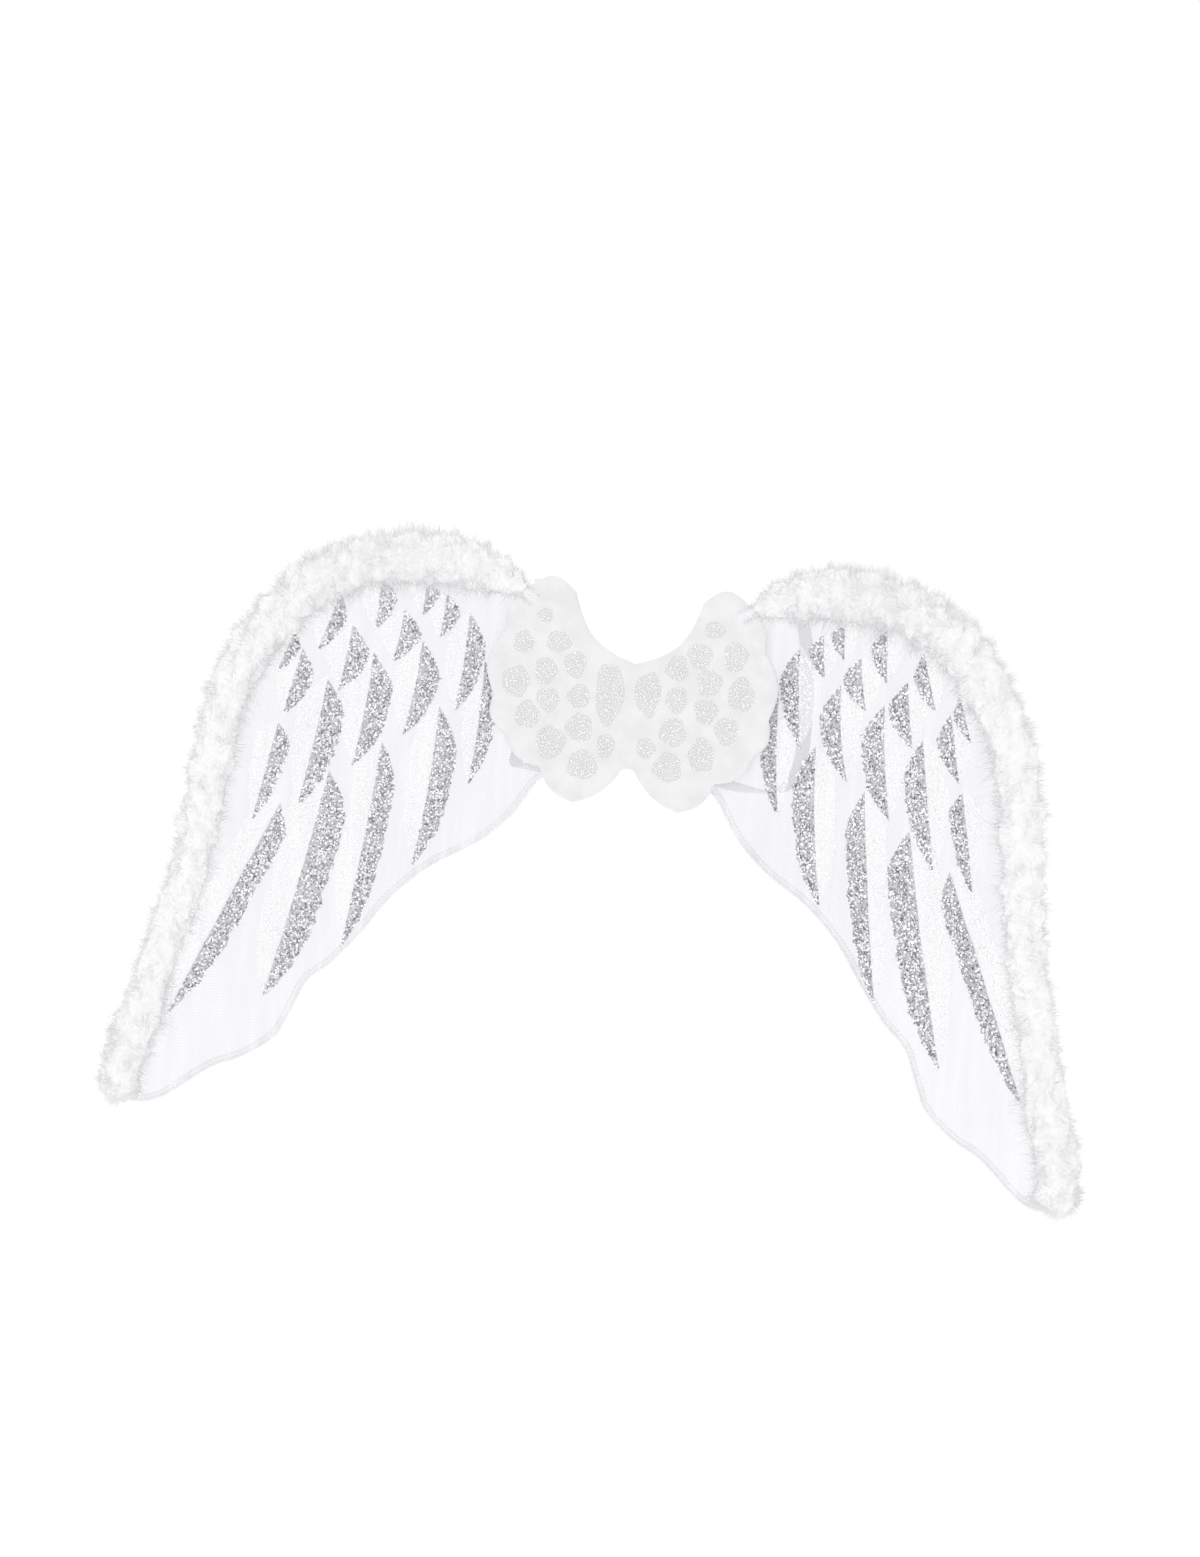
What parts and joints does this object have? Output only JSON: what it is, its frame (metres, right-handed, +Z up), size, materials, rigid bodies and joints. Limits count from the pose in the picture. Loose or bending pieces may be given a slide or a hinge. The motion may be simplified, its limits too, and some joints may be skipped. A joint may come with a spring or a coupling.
{
  "type": "costume angel wings",
  "caption": "Sheer cloth costume wings on bent wire loops, with a fluffy trim along each leading edge, a scalloped patch over the join and elastic shoulder loops.",
  "frame": {"origin": "where the harness rests on the wearer's back, at the middle of the join between the two wings", "axes": "+X to the right for someone who looks at the wearer's back and at the decorated side of the wings, +Y forward from the wings into the wearer's back, +Z up"},
  "size_m": [0.7022, 0.2126, 0.4217],
  "materials": {
    "coated_wire": "white plastic coat, satin",
    "sheer_cloth": "sheer white net with silver and pale glitter feathers",
    "marabou": "soft white down",
    "elastic": "ribbed white woven elastic",
    "patch_felt": "matt white felt with pale glitter spots",
    "binding_tape": "plain white tape, matt"
  },
  "bodies": {
    "root": {"wire_loop_right": "coated_wire", "wire_loop_left": "coated_wire", "wing_cloth_right": "sheer_cloth", "wing_cloth_left": "sheer_cloth", "marabou_trim_right": "marabou", "marabou_trim_left": "marabou", "shoulder_elastic_right": "elastic", "shoulder_elastic_left": "elastic", "scalloped_patch": "patch_felt", "wire_sleeve": "binding_tape"}
  },
  "joints": []
}
